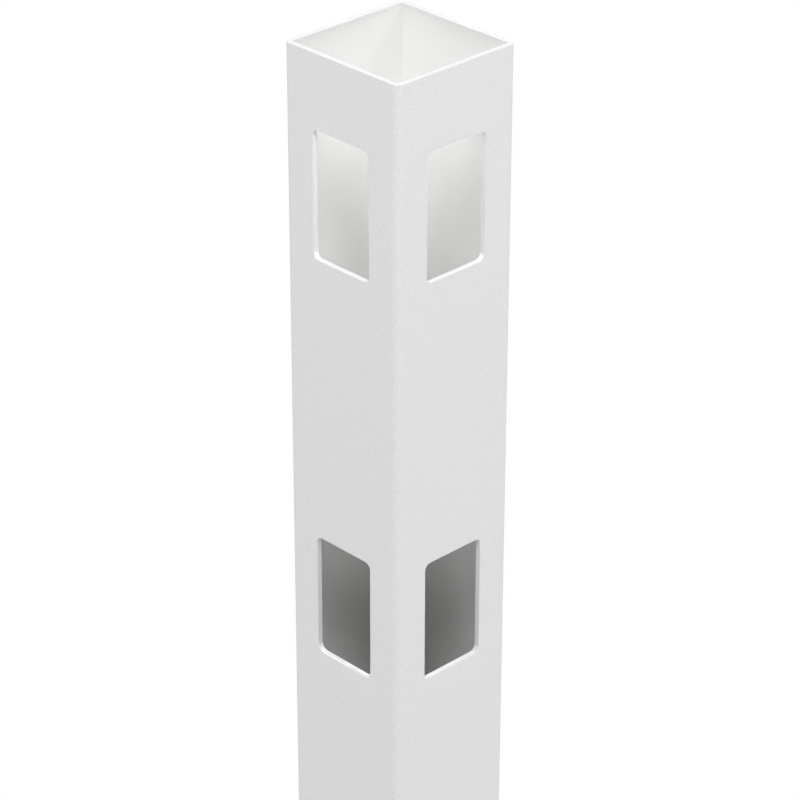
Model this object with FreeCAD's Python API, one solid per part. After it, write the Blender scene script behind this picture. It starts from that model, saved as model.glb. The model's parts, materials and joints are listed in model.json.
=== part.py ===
import FreeCAD, Part
import math
import os
from FreeCAD import Placement, Rotation, Vector

# A routed corner post for a vinyl fence: one length of square hollow extrusion, sawn square
# at both ends, with a column of rail pockets routed through each of two neighbouring walls.
# It stands on its foot, with +Z up and the origin at the centre of the foot.
# The pockets open towards -Y, the front, and towards +X, the side.

# Driving dimensions, in millimetres

# The extrusion
POST_WIDTH = 101.6            # 4 in square outside
WALL = 3.81                   # 0.150 in
OUTER_CORNER_RADIUS = 4.7625  # 3/16 in, along the four outside corners
INNER_CORNER_RADIUS = 0.9525  # the die leaves the inside corners nearly sharp

# The cut length, and how much of it is set in the ground
POST_LENGTH = 1828.8          # 72 in
BURIED_LENGTH = 609.6         # 24 in

# The pockets, for rails of 2 in by 3-1/2 in
POCKET_WIDTH = 50.8
POCKET_HEIGHT = 88.9
POCKET_CORNER_RADIUS = 4.7625  # left by a 3/8 in router bit

# The uncut wall above the top rail, between the top and middle rails, and below the
# bottom rail down to the ground line
TOP_MARGIN = 50.8
MIDDLE_GAP = 203.2
GROUND_GAP = 50.8

# How far the router bit passes both skins of the wall
BIT_OVERRUN = 2.0

# The routed walls, as turns in degrees about the post's axis from the front wall
ROUTED_WALLS = {"front": 0, "side": 90}


def rounded_rectangle(width, height, radius):
    """A closed wire in the XY plane, centred on the origin, with an arc at each corner."""
    half_x, half_y = width / 2 - radius, height / 2 - radius
    centres = [(half_x, half_y), (-half_x, half_y), (-half_x, -half_y), (half_x, -half_y)]
    quarter_turn = math.pi / 2
    arcs = []
    for corner, (x, y) in enumerate(centres):
        circle = Part.Circle(Vector(x, y, 0), Vector(0, 0, 1), radius)
        start = corner * quarter_turn
        arcs.append(Part.ArcOfCircle(circle, start, start + quarter_turn))
    edges = []
    for arc, next_arc in zip(arcs, arcs[1:] + arcs[:1]):
        edges.append(arc.toShape())
        edges.append(Part.LineSegment(arc.EndPoint, next_arc.StartPoint).toShape())
    return Part.Wire(edges)


def extruded_tube():
    """The hollow extrusion at its cut length, before routing."""
    bore_width = POST_WIDTH - 2 * WALL
    outside = rounded_rectangle(POST_WIDTH, POST_WIDTH, OUTER_CORNER_RADIUS)
    bore = rounded_rectangle(bore_width, bore_width, INNER_CORNER_RADIUS)
    section = Part.makeFace([outside, bore], "Part::FaceMakerBullseye")
    return section.extrude(Vector(0, 0, POST_LENGTH))


def rail_heights():
    """The heights of the rails' centre lines above the foot, from the top rail down."""
    top = POST_LENGTH - TOP_MARGIN - POCKET_HEIGHT / 2
    middle = top - POCKET_HEIGHT - MIDDLE_GAP
    bottom = BURIED_LENGTH + GROUND_GAP + POCKET_HEIGHT / 2
    return [top, middle, bottom]


def pocket_plug(turn, height):
    """What the router cuts out of one wall at one rail, a little longer than the wall is thick."""
    outline = Part.Face(rounded_rectangle(POCKET_WIDTH, POCKET_HEIGHT, POCKET_CORNER_RADIUS))
    plug = outline.extrude(Vector(0, 0, WALL + 2 * BIT_OVERRUN))
    # stood up in the front wall, pointing out of the post, then turned to its own wall
    inner_end = Vector(0, WALL - POST_WIDTH / 2 + BIT_OVERRUN, height)
    plug.Placement = Placement(inner_end, Rotation(Vector(1, 0, 0), 90))
    return plug.rotate(Vector(0, 0, 0), Vector(0, 0, 1), turn)


def corner_post():
    """The tube with its pockets routed."""
    plugs = [pocket_plug(turn, height)
             for turn in ROUTED_WALLS.values() for height in rail_heights()]
    return extruded_tube().cut(plugs)


os.makedirs("parts", exist_ok=True)
corner_post().exportStep("parts/post.step")
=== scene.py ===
"""A routed corner post for a white vinyl fence, dressed for a studio picture.

The post is one hollow extrusion. It is modelled here again from its own sizes, finely enough to
show the rounded corners, the routed pockets and the eased cut edges, and it takes four finishes:
the satin outside, the duller bore, the sawn ends and the routed edges of the pockets.
"""

import json
import logging
import math
from abc import ABC, abstractmethod
from dataclasses import dataclass, field, replace
from enum import Enum

import bmesh
import bpy
from mathutils import Matrix, Vector

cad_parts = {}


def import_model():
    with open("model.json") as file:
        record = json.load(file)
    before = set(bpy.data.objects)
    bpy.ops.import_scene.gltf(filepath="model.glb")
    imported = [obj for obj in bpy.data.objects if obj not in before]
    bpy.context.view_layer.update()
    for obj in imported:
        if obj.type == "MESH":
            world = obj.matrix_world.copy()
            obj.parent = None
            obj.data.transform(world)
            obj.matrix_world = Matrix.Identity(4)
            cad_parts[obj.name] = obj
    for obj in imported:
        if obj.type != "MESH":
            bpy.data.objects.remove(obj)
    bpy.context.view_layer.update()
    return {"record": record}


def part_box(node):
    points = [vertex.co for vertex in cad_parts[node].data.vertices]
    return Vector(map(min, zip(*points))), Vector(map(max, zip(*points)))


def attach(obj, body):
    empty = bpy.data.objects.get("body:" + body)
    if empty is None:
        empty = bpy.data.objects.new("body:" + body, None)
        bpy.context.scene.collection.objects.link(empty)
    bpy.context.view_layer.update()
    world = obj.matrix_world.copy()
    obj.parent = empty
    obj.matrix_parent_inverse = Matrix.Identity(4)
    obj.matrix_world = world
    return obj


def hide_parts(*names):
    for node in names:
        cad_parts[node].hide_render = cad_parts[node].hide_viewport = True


log = logging.getLogger("corner_post")

MM = 0.001
UP = Vector((0.0, 0.0, 1.0))
POST_NODE = "post"
ROOT_BODY = "root"

# Two points nearer than this are the same point
TOUCHING = 0.02 * MM
# A face whose middle is nearer than this to a pocket's centre is that pocket's
CENTRED = 1.0 * MM

# The middle range of a cloudy pattern
PATTERN_LOW, PATTERN_HIGH = 0.3, 0.7
# A wave pattern of scale 1 has a crest each tenth of pi, in metres
WAVE_PITCH = math.pi / 10

# How far below the post's top the top pockets' centres and the second pockets' sills lie
TOP_POCKET_DROP = 95.3 * MM
SECOND_SILL_DROP = 431.8 * MM


class Surface(Enum):
    """The kinds of surface on the post, by their material index."""

    OUTSIDE = 0
    BORE = 1
    SAWN = 2
    ROUTED = 3


class ShaderSheet:
    """A material and short ways to add nodes to it and join them."""

    def __init__(self, name: str) -> None:
        """Starts a material that holds one Principled shader and reads Object coordinates.

        Args:
            name: the material's name.
        """
        self.material = bpy.data.materials.new(name)
        self.material.use_nodes = True
        self.shader = self.material.node_tree.nodes["Principled BSDF"]
        self.place = self.add("ShaderNodeTexCoord").outputs["Object"]

    def add(self, kind: str, **settings: object) -> bpy.types.Node:
        """Adds a node.

        Args:
            kind: the node's type, such as ShaderNodeBump.
            settings: the node's own properties, by name.

        Returns:
            The new node.
        """
        node = self.material.node_tree.nodes.new(kind)
        for name, value in settings.items():
            setattr(node, name, value)
        return node

    def join(self, source: bpy.types.NodeSocket, target: bpy.types.NodeSocket) -> None:
        """Links one node's output to another node's input."""
        self.material.node_tree.links.new(source, target)

    def noise(self, size: float, detail: float = 2.0,
              stretch: tuple[float, float, float] = (1.0, 1.0, 1.0)) -> bpy.types.NodeSocket:
        """Adds a cloudy pattern.

        Args:
            size: the width of its patches, in metres.
            detail: how many finer layers it has.
            stretch: how much longer than that size the patches are along X, Y and Z.

        Returns:
            The pattern's output, about 0.5 on average.
        """
        mapping = self.add("ShaderNodeMapping")
        mapping.inputs["Scale"].default_value = [1.0 / share for share in stretch]
        self.join(self.place, mapping.inputs["Vector"])
        noise = self.add("ShaderNodeTexNoise")
        noise.inputs["Scale"].default_value = 1.0 / size
        noise.inputs["Detail"].default_value = detail
        self.join(mapping.outputs["Vector"], noise.inputs["Vector"])
        return noise.outputs["Fac"]

    def spread(self, pattern: bpy.types.NodeSocket, low: float, high: float) -> bpy.types.NodeSocket:
        """Adds a node that maps a pattern's middle range to two values.

        Args:
            pattern: a pattern of about 0.5 on average.
            low: the value at the low end of that range.
            high: the value at its high end.

        Returns:
            The mapped output.
        """
        remap = self.add("ShaderNodeMapRange")
        remap.inputs["From Min"].default_value = PATTERN_LOW
        remap.inputs["From Max"].default_value = PATTERN_HIGH
        remap.inputs["To Min"].default_value = low
        remap.inputs["To Max"].default_value = high
        self.join(pattern, remap.inputs["Value"])
        return remap.outputs["Result"]

    def emboss(self, heights: list[tuple[bpy.types.NodeSocket, float]]) -> None:
        """Presses patterns into the surface, one on top of the other.

        Args:
            heights: each pattern with its depth in metres.
        """
        normal = None
        for pattern, depth in heights:
            bump = self.add("ShaderNodeBump")
            bump.inputs["Distance"].default_value = depth
            self.join(pattern, bump.inputs["Height"])
            if normal is not None:
                self.join(normal, bump.inputs["Normal"])
            normal = bump.outputs["Normal"]
        self.join(normal, self.shader.inputs["Normal"])


@dataclass(frozen=True)
class Vinyl(ABC):
    """White rigid vinyl. Each finish adds the marks of what shaped its surface."""

    name: str
    colour: tuple[float, float, float] = (0.84, 0.84, 0.84)
    mottle: float = 0.010
    mottle_size: float = 1.5 * MM
    roughness: tuple[float, float] = (0.36, 0.44)
    sheen_size: float = 12 * MM
    refraction: float = 1.53

    def material(self) -> bpy.types.Material:
        """Builds the finish.

        Returns:
            The material.
        """
        sheet = ShaderSheet(self.name)
        sheet.shader.inputs["IOR"].default_value = self.refraction
        grain = sheet.noise(self.mottle_size)
        tint = sheet.add("ShaderNodeMix", data_type="RGBA")
        low, high = 1.0 - self.mottle, 1.0 + self.mottle
        tint.inputs["A"].default_value = (*(low * part for part in self.colour), 1.0)
        tint.inputs["B"].default_value = (*(high * part for part in self.colour), 1.0)
        sheet.join(sheet.spread(grain, 0.0, 1.0), tint.inputs["Factor"])
        sheet.join(tint.outputs["Result"], sheet.shader.inputs["Base Color"])
        sheen = sheet.spread(sheet.noise(self.sheen_size), *self.roughness)
        sheet.join(sheen, sheet.shader.inputs["Roughness"])
        sheet.emboss(self.marks(sheet))
        return sheet.material

    @abstractmethod
    def marks(self, sheet: ShaderSheet) -> list[tuple[bpy.types.NodeSocket, float]]:
        """The patterns pressed into the surface, each with its depth in metres."""


@dataclass(frozen=True)
class ExtrudedVinyl(Vinyl):
    """A surface as the extrusion die leaves it: faint orange peel and lines along the post."""

    mottle: float = 0.042
    peel_size: float = 4.0 * MM
    peel_depth: float = 0.010 * MM
    line_width: float = 1.3 * MM
    line_length: float = 900 * MM
    line_depth: float = 0.004 * MM

    def marks(self, sheet: ShaderSheet) -> list[tuple[bpy.types.NodeSocket, float]]:
        """The orange peel and the die lines, each with its depth in metres."""
        lines = sheet.noise(self.line_width, stretch=(1.0, 1.0, self.line_length / self.line_width))
        return [(sheet.noise(self.peel_size), self.peel_depth), (lines, self.line_depth)]


@dataclass(frozen=True)
class CutVinyl(Vinyl):
    """A surface that a blade has opened, with a fine tear under the marks of its teeth."""

    tear_size: float = 0.5 * MM
    tear_depth: float = 0.004 * MM

    def tear(self, sheet: ShaderSheet) -> tuple[bpy.types.NodeSocket, float]:
        """The tear, with its depth in metres."""
        return sheet.noise(self.tear_size), self.tear_depth


@dataclass(frozen=True)
class SawnVinyl(CutVinyl):
    """An end as the saw leaves it: shallow arcs about the blade's centre."""

    blade_centre: tuple[float, float] = (-118 * MM, 64 * MM)
    tooth_pitch: float = 1.3 * MM
    tooth_depth: float = 0.010 * MM
    wander: float = 1.2
    wander_scale: float = 0.4

    def marks(self, sheet: ShaderSheet) -> list[tuple[bpy.types.NodeSocket, float]]:
        """The saw's arcs and the tear, each with its depth in metres."""
        centred = sheet.add("ShaderNodeMapping")
        centred.inputs["Location"].default_value = (-self.blade_centre[0], -self.blade_centre[1], 0.0)
        sheet.join(sheet.place, centred.inputs["Vector"])
        arcs = sheet.add("ShaderNodeTexWave", wave_type="RINGS", rings_direction="Z")
        arcs.inputs["Scale"].default_value = WAVE_PITCH / self.tooth_pitch
        arcs.inputs["Distortion"].default_value = self.wander
        arcs.inputs["Detail Scale"].default_value = self.wander_scale
        sheet.join(centred.outputs["Vector"], arcs.inputs["Vector"])
        return [(arcs.outputs["Fac"], self.tooth_depth), self.tear(sheet)]


@dataclass(frozen=True)
class RoutedVinyl(CutVinyl):
    """The edge of a pocket as the router leaves it: fine ripples that run through the wall."""

    side_wall_plane: float = 40 * MM
    ripple_pitch: float = 0.8 * MM
    ripple_depth: float = 0.006 * MM

    def marks(self, sheet: ShaderSheet) -> list[tuple[bpy.types.NodeSocket, float]]:
        """The cutter's ripples and the tear, each with its depth in metres."""
        parts = sheet.add("ShaderNodeSeparateXYZ")
        sheet.join(sheet.place, parts.inputs["Vector"])
        # the cutter travels along X in the front wall and along Y in the side wall
        in_side_wall = sheet.add("ShaderNodeMath", operation="GREATER_THAN")
        in_side_wall.inputs[1].default_value = self.side_wall_plane
        sheet.join(parts.outputs["X"], in_side_wall.inputs[0])
        across = sheet.add("ShaderNodeMix", data_type="FLOAT")
        sheet.join(in_side_wall.outputs["Value"], across.inputs["Factor"])
        sheet.join(parts.outputs["X"], across.inputs["A"])
        sheet.join(parts.outputs["Y"], across.inputs["B"])
        travel = sheet.add("ShaderNodeMath", operation="ADD")
        sheet.join(across.outputs["Result"], travel.inputs[0])
        sheet.join(parts.outputs["Z"], travel.inputs[1])
        path = sheet.add("ShaderNodeCombineXYZ")
        sheet.join(travel.outputs["Value"], path.inputs["X"])
        ripples = sheet.add("ShaderNodeTexWave", wave_type="BANDS", bands_direction="X")
        ripples.inputs["Scale"].default_value = WAVE_PITCH / self.ripple_pitch
        sheet.join(path.outputs["Vector"], ripples.inputs["Vector"])
        return [(ripples.outputs["Fac"], self.ripple_depth), self.tear(sheet)]


FINISHES = {
    Surface.OUTSIDE: ExtrudedVinyl("vinyl_outside"),
    Surface.BORE: ExtrudedVinyl("vinyl_bore", colour=(0.88, 0.88, 0.87), mottle=0.015,
                                roughness=(0.50, 0.60), line_depth=0.010 * MM),
    Surface.SAWN: SawnVinyl("vinyl_sawn", colour=(0.85, 0.85, 0.85), roughness=(0.58, 0.68)),
    Surface.ROUTED: RoutedVinyl("vinyl_routed", colour=(0.82, 0.82, 0.82), roughness=(0.52, 0.62)),
}


@dataclass
class RoutedPost:
    """The post: two skins of the extrusion, joined round each pocket and at the ends.

    Its pockets are given by their centres, each on the outside of its wall.
    """

    width: float
    length: float
    pockets: list[Vector]
    wall: float = 3.81 * MM
    corner_radius: float = 4.7625 * MM
    corner_segments: int = 12
    pocket_width: float = 50.8 * MM
    pocket_height: float = 88.9 * MM
    pocket_radius: float = 4.7625 * MM
    pocket_segments: int = 10
    eased_edge: float = 0.11 * MM
    eased_segments: int = 2

    def outside(self) -> bmesh.types.BMesh:
        """Shapes the outside of the extrusion, with its pockets open.

        Returns:
            The outside skin, open at both ends and one face thick.
        """
        skin = bmesh.new()
        bmesh.ops.create_grid(skin, x_segments=1, y_segments=1, size=self.width / 2)
        bmesh.ops.bevel(skin, geom=skin.verts[:], offset=self.corner_radius, offset_type="OFFSET",
                        segments=self.corner_segments, profile=0.5, affect="VERTICES", material=-1)
        bmesh.ops.delete(skin, geom=skin.faces[:], context="FACES_ONLY")
        raised = bmesh.ops.extrude_edge_only(skin, edges=skin.edges[:])["geom"]
        top = [item for item in raised if isinstance(item, bmesh.types.BMVert)]
        bmesh.ops.translate(skin, verts=top, vec=UP * self.length)
        margin = self.width / 2 - self.corner_radius - self.pocket_width / 2
        reach = self.pocket_height / 2 + margin
        for height in sorted({pocket.z for pocket in self.pockets}):
            for edge in (height - reach, height + reach):
                bmesh.ops.bisect_plane(skin, geom=skin.verts[:] + skin.edges[:] + skin.faces[:],
                                       dist=TOUCHING, plane_co=UP * edge, plane_no=UP)
        bmesh.ops.inset_individual(skin, faces=self.panels(skin), thickness=margin, use_even_offset=True)
        corners = [corner for panel in self.panels(skin) for corner in panel.verts]
        bmesh.ops.bevel(skin, geom=corners, offset=self.pocket_radius, offset_type="OFFSET",
                        segments=self.pocket_segments, profile=0.5, affect="VERTICES", material=-1)
        bmesh.ops.delete(skin, geom=self.panels(skin), context="FACES")
        return skin

    def panels(self, skin: bmesh.types.BMesh) -> list[bmesh.types.BMFace]:
        """The faces centred on a pocket, whatever their size."""
        return [face for face in skin.faces
                if any((face.calc_center_bounds() - pocket).length < CENTRED for pocket in self.pockets)]

    def onto_bore(self, point: Vector) -> Vector:
        """Moves a point of the outside straight through the wall.

        The outside lies at its corner radius from a square core, and the bore at its own radius
        from the same core.

        Args:
            point: the point on the outside.

        Returns:
            The point of the bore that faces it.
        """
        half = self.width / 2 - self.corner_radius
        core = Vector((min(max(point.x, -half), half), min(max(point.y, -half), half), point.z))
        return core + (point - core).normalized() * (self.corner_radius - self.wall)

    def build(self) -> bpy.types.Mesh:
        """Gives the outside its bore, closes the wall between them and eases the cut edges.

        Returns:
            The closed mesh, with a material index for each kind of surface.
        """
        post = self.outside()
        for face in post.faces:
            face.material_index = Surface.OUTSIDE.value
        rims = [edge for edge in post.edges if edge.is_boundary]
        inner = bmesh.ops.duplicate(post, geom=post.faces[:])
        partner = inner["vert_map"]
        for item in inner["geom"]:
            if isinstance(item, bmesh.types.BMFace):
                item.material_index = Surface.BORE.value
            elif isinstance(item, bmesh.types.BMVert):
                item.co = self.onto_bore(item.co)
        for rim in rims:
            first, second = rim.verts
            cut = post.faces.new((first, second, partner[second], partner[first]))
            at_end = all(min(vert.co.z, self.length - vert.co.z) < TOUCHING for vert in rim.verts)
            cut.material_index = (Surface.SAWN if at_end else Surface.ROUTED).value
        bmesh.ops.recalc_face_normals(post, faces=post.faces[:])
        self.ease(post)
        mesh = bpy.data.meshes.new("routed_post")
        post.to_mesh(mesh)
        post.free()
        return mesh

    def ease(self, post: bmesh.types.BMesh) -> None:
        """Takes the sharpness off every cut edge.

        Args:
            post: the post's mesh.
        """
        cuts = {Surface.SAWN.value, Surface.ROUTED.value}
        arrises = [edge for edge in post.edges
                   if len({face.material_index for face in edge.link_faces}) == 2
                   and any(face.material_index in cuts for face in edge.link_faces)]
        bmesh.ops.bevel(post, geom=arrises, offset=self.eased_edge, offset_type="OFFSET",
                        segments=self.eased_segments, profile=0.5, affect="EDGES", material=-1)

    def piece(self) -> bpy.types.Object:
        """Makes the finished post.

        Returns:
            The object, at the origin, riding on the row's body in place of the plain solid.
        """
        mesh = self.build()
        mesh.shade_smooth()
        for surface in Surface:
            mesh.materials.append(FINISHES[surface].material())
        post = bpy.data.objects.new("routed_post", mesh)
        bpy.context.scene.collection.objects.link(post)
        weighted = post.modifiers.new("flat_faces_stay_flat", "WEIGHTED_NORMAL")
        weighted.mode = "FACE_AREA"
        weighted.weight = 100
        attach(post, ROOT_BODY)
        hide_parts(POST_NODE)
        return post


@dataclass(frozen=True)
class Softbox:
    """A soft lamp that looks at a point, which it finds from the centre of the post's top.

    Its level is the light that it alone gives a white card held square to it at that point,
    where 1 is white.
    """

    name: str
    azimuth: float
    level: float
    elevation: float = 40.0
    distance: float = 4.2
    size: tuple[float, float] = (1.0, 1.0)
    aim: tuple[float, float, float] = (0.0, 0.0, 0.0)
    spread: float = 180.0

    def power(self) -> float:
        """The lamp's power for its level, in watts."""
        return self.level * (math.pi * self.distance) ** 2

    def hang(self, top: Vector) -> bpy.types.Object:
        """Hangs the lamp.

        Args:
            top: the centre of the post's top.

        Returns:
            The lamp.
        """
        lamp = bpy.data.lights.new(self.name, "AREA")
        lamp.shape = "RECTANGLE"
        lamp.size, lamp.size_y = self.size
        lamp.spread = math.radians(self.spread)
        lamp.energy = self.power()
        box = bpy.data.objects.new(self.name, lamp)
        azimuth, elevation = math.radians(self.azimuth), math.radians(self.elevation)
        towards = Vector((math.sin(azimuth) * math.cos(elevation),
                          -math.cos(azimuth) * math.cos(elevation), math.sin(elevation)))
        box.location = top + Vector(self.aim) + towards * self.distance
        box.rotation_euler = towards.to_track_quat("Z", "Y").to_euler()
        box.visible_camera = False
        bpy.context.scene.collection.objects.link(box)
        return box


@dataclass(frozen=True)
class Beam(Softbox):
    """A small gridded lamp, whose narrow beam picks out one part of the post."""

    elevation: float = 63.5
    distance: float = 0.3
    size: tuple[float, float] = (90 * MM, 81 * MM)
    spread: float = 1.5

    def power(self) -> float:
        """The lamp's power for its level, in watts. The grid keeps the beam to the lamp's own size."""
        return self.level * math.pi * self.size[0] * self.size[1]

    def mirrored(self, level: float) -> "Beam":
        """Makes the beam's twin on the other side of the front corner.

        Args:
            level: the twin's own level.

        Returns:
            The twin.
        """
        across, along, up = self.aim
        return replace(self, name=f"{self.name}_twin", azimuth=90.0 - self.azimuth, level=level,
                       aim=(-along, -across, up))


# Beams that go down into the bore and miss the rim, for the wall that the left pockets look at:
# down it, deeper down it, and past the pockets' far edges
WALL_BEAM = Beam("bore_wall", azimuth=90, level=0.20)
DEEP_BEAM = Beam("bore_deep", azimuth=90, level=0.16, elevation=70, size=(80 * MM, 52 * MM),
                 spread=3.0, aim=(2 * MM, -2 * MM, 0.0))
EDGE_BEAM = Beam("bore_edge", azimuth=135, level=0.42, elevation=66, size=(48 * MM, 54 * MM),
                 spread=4.0, aim=(2 * MM, 10 * MM, 0.0))
# A beam for the second left pocket's sill, one for the top left pocket's far side, and one that
# passes through the second left pocket to the wall that the second right one looks at
SILL_BEAM = Beam("sill", azimuth=0, level=0.20, elevation=78, distance=0.15, size=(53 * MM, 4.8 * MM),
                 spread=1.0, aim=(0.0, -49 * MM, -SECOND_SILL_DROP))
REVEAL_BEAM = Beam("reveal", azimuth=70, level=0.24, elevation=40, size=(3.6 * MM, 66 * MM),
                   spread=1.0, aim=(-25.4 * MM, -48.4 * MM, -TOP_POCKET_DROP))
THROUGH_BEAM = Beam("through", azimuth=-12, level=0.04, elevation=20, size=(24 * MM, 56 * MM),
                    spread=6.0, aim=(22 * MM, 47 * MM, 7.8 * MM - SECOND_SILL_DROP))


@dataclass
class Studio:
    """A plain pale floor, white surroundings and soft lamps."""

    post_top: Vector
    floor_half: float = 40.0
    floor_colour: tuple[float, float, float] = (0.80, 0.80, 0.80)
    floor_roughness: float = 0.9
    floor_glow: float = 0.39
    shadow_near: float = 0.5
    shadow_far: float = 1.5
    ambient: float = 0.21
    lamps: list[Softbox] = field(default_factory=lambda: [
        Softbox("front", azimuth=45, level=0.775, elevation=59.5, size=(1.8, 0.9)),
        Softbox("left", azimuth=-45, level=0.143, size=(2.8, 2.0)),
        Softbox("right", azimuth=135, level=0.293, size=(2.8, 2.0)),
        WALL_BEAM,
        WALL_BEAM.mirrored(level=0.25),
        DEEP_BEAM,
        DEEP_BEAM.mirrored(level=0.10),
        EDGE_BEAM,
        EDGE_BEAM.mirrored(level=0.30),
        SILL_BEAM,
        SILL_BEAM.mirrored(level=0.16),
        REVEAL_BEAM,
        REVEAL_BEAM.mirrored(level=0.08),
        THROUGH_BEAM,
    ])

    @staticmethod
    def seen_directly(nodes: bpy.types.Nodes, links: bpy.types.NodeLinks) -> bpy.types.NodeSocket:
        """Adds nodes that tell what the camera sees, straight or in a reflection, from what lights.

        Args:
            nodes: the node tree's nodes.
            links: the node tree's links.

        Returns:
            An output that is 1 for a camera, glossy or transmission ray and 0 for any other.
        """
        path = nodes.new("ShaderNodeLightPath")
        total = path.outputs["Is Camera Ray"]
        for other in ("Is Glossy Ray", "Is Transmission Ray"):
            either = nodes.new("ShaderNodeMath")
            either.operation = "MAXIMUM"
            links.new(total, either.inputs[0])
            links.new(path.outputs[other], either.inputs[1])
            total = either.outputs["Value"]
        return total

    def surroundings(self) -> None:
        """Sets the world: white where it is seen, and a softer even light on everything else."""
        world = bpy.data.worlds.new("studio_air")
        bpy.context.scene.world = world
        world.use_nodes = True
        nodes, links = world.node_tree.nodes, world.node_tree.links
        background = nodes["Background"]
        background.inputs["Color"].default_value = (1.0, 1.0, 1.0, 1.0)
        strength = nodes.new("ShaderNodeMapRange")
        strength.inputs["To Min"].default_value = self.ambient
        strength.inputs["To Max"].default_value = 1.0
        links.new(self.seen_directly(nodes, links), strength.inputs["Value"])
        links.new(strength.outputs["Result"], background.inputs["Strength"])

    def floor_material(self) -> bpy.types.Material:
        """Builds the floor's finish: pale near the post, where its shadow falls, and white beyond.

        Returns:
            The material.
        """
        sheet = ShaderSheet("studio_floor")
        nodes, links = sheet.material.node_tree.nodes, sheet.material.node_tree.links
        sheet.shader.inputs["Base Color"].default_value = (*self.floor_colour, 1.0)
        sheet.shader.inputs["Roughness"].default_value = self.floor_roughness
        sheet.shader.inputs["Emission Strength"].default_value = self.floor_glow
        reach = sheet.add("ShaderNodeVectorMath", operation="LENGTH")
        sheet.join(sheet.place, reach.inputs[0])
        fade = sheet.add("ShaderNodeMapRange", interpolation_type="SMOOTHSTEP")
        fade.inputs["From Min"].default_value = self.shadow_near
        fade.inputs["From Max"].default_value = self.shadow_far
        sheet.join(reach.outputs["Value"], fade.inputs["Value"])
        share = sheet.add("ShaderNodeMath", operation="MULTIPLY")
        sheet.join(self.seen_directly(nodes, links), share.inputs[0])
        sheet.join(fade.outputs["Result"], share.inputs[1])
        white = sheet.add("ShaderNodeEmission")
        mix = sheet.add("ShaderNodeMixShader")
        sheet.join(share.outputs["Value"], mix.inputs["Fac"])
        sheet.join(sheet.shader.outputs["BSDF"], mix.inputs[1])
        sheet.join(white.outputs["Emission"], mix.inputs[2])
        sheet.join(mix.outputs["Shader"], nodes["Material Output"].inputs["Surface"])
        return sheet.material

    def floor(self) -> bpy.types.Object:
        """Lays the floor.

        Returns:
            The floor, which is part of the stage and not of the post.
        """
        sheet = bmesh.new()
        bmesh.ops.create_grid(sheet, x_segments=1, y_segments=1, size=self.floor_half)
        mesh = bpy.data.meshes.new("studio_floor")
        sheet.to_mesh(mesh)
        sheet.free()
        mesh.materials.append(self.floor_material())
        floor = bpy.data.objects.new("studio_floor", mesh)
        bpy.context.scene.collection.objects.link(floor)
        return floor

    def build(self) -> None:
        """Sets up the surroundings, the floor and the lamps."""
        self.surroundings()
        self.floor()
        for lamp in self.lamps:
            lamp.hang(self.post_top)


@dataclass(frozen=True)
class PhotoCamera:
    """The camera at the photograph's viewpoint, solved from the post's own edges."""

    lens: float = 144.09
    sensor: float = 36.0
    place: tuple[float, float, float] = (1.3249, -1.2755, 2.5648)
    heading: float = 46.076
    pitch: float = 28.197
    roll: float = 0.090

    def set_up(self) -> bpy.types.Object:
        """Places the camera and makes it the scene's own.

        Returns:
            The camera.
        """
        data = bpy.data.cameras.new("photo_camera")
        data.lens = self.lens
        data.sensor_width = self.sensor
        camera = bpy.data.objects.new("photo_camera", data)
        turn = (Matrix.Rotation(math.radians(self.heading), 4, "Z")
                @ Matrix.Rotation(math.radians(90.0 - self.pitch), 4, "X")
                @ Matrix.Rotation(math.radians(self.roll), 4, "Z"))
        camera.matrix_world = Matrix.Translation(self.place) @ turn
        bpy.context.scene.collection.objects.link(camera)
        bpy.context.scene.camera = camera
        return camera


def rail_pockets(record: dict) -> list[Vector]:
    """Reads the pockets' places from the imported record's mounts.

    Args:
        record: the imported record.

    Returns:
        The pockets' centres, one for each rail mount.
    """
    return [Vector(mount["pos_m"]) for mount in record["mounts"] if "_rail_" in mount["name"]]


def main() -> None:
    """Builds the post, the studio and the camera."""
    logging.basicConfig(level=logging.INFO, format="%(name)s: %(message)s")
    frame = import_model()
    low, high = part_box(POST_NODE)
    bpy.context.scene.view_settings.view_transform = "Standard"

    post = RoutedPost(width=high.x - low.x, length=high.z, pockets=rail_pockets(frame["record"]))
    piece = post.piece()
    log.info("%s: %d faces, %d pockets", piece.name, len(piece.data.polygons), len(post.pockets))

    studio = Studio(post_top=UP * post.length)
    studio.build()
    log.info("studio: %d lamps", len(studio.lamps))
    camera = PhotoCamera().set_up()
    log.info("%s: %.1f mm lens", camera.name, camera.data.lens)


if __name__ == "__main__":
    main()
